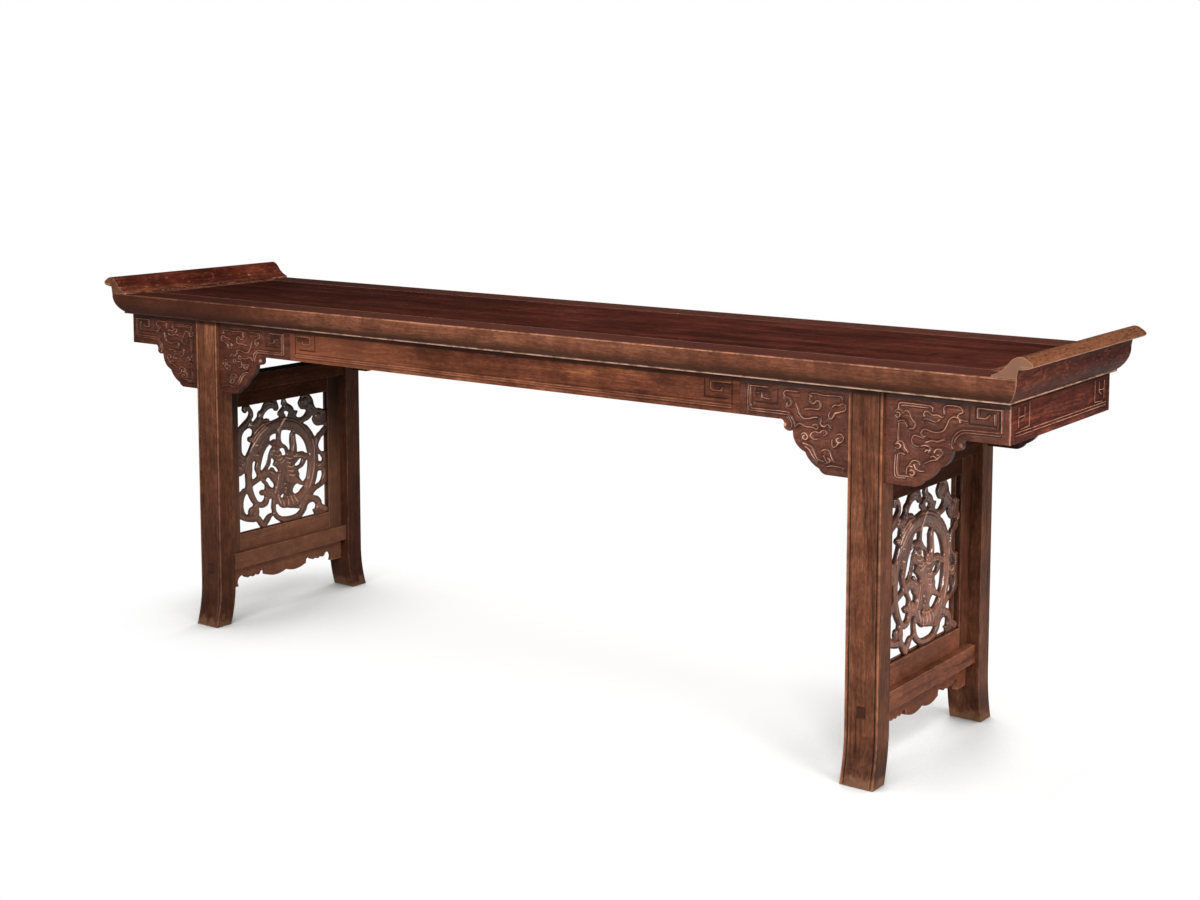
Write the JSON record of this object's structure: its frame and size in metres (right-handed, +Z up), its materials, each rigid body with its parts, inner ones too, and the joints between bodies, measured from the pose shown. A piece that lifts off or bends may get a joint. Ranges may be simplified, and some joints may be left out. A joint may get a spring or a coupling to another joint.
{
  "type": "chinese altar table",
  "caption": "Long side table with everted end flanges on two trestles that hold pierced scroll screens, with carved spandrels, a moulded top frame and flared feet.",
  "frame": {"origin": "on the floor, under the middle of the table", "axes": "+X along the length of the table to its right end, -Y the front, +Z up"},
  "size_m": [2.606, 0.585, 0.892],
  "materials": {
    "top_wood": "satin waxed dark reddish brown hardwood",
    "frame_wood": "satin waxed reddish brown hardwood, lighter at worn edges",
    "leg_wood": "satin waxed reddish brown hardwood",
    "carving_wood": "satin waxed carved hardwood, darker in its hollows"
  },
  "bodies": {
    "root": {"apron_back": "leg_wood", "apron_front": "leg_wood", "batten_1": "top_wood", "batten_2": "top_wood", "batten_3": "top_wood", "batten_4": "top_wood", "carved_screen_left": "carving_wood", "carved_screen_right": "carving_wood", "cusped_apron_left": "carving_wood", "cusped_apron_right": "carving_wood", "end_apron_left": "leg_wood", "end_apron_right": "leg_wood", "leg_back_left": "leg_wood", "leg_back_right": "leg_wood", "leg_front_left": "leg_wood", "leg_front_right": "leg_wood", "screen_rail_lower_left": "leg_wood", "screen_rail_lower_right": "leg_wood", "screen_rail_upper_left": "leg_wood", "screen_rail_upper_right": "leg_wood", "screen_stile_left_back": "leg_wood", "screen_stile_left_front": "leg_wood", "screen_stile_right_back": "leg_wood", "screen_stile_right_front": "leg_wood", "spandrel_back_left": "carving_wood", "spandrel_back_right": "carving_wood", "spandrel_front_left": "carving_wood", "spandrel_front_right": "carving_wood", "stretcher_left": "leg_wood", "stretcher_right": "leg_wood", "top_end_left": "frame_wood", "top_end_right": "frame_wood", "top_panel": "top_wood", "top_rail_back": "frame_wood", "top_rail_front": "frame_wood", "upper_rail_left": "leg_wood", "upper_rail_right": "leg_wood"}
  },
  "joints": []
}
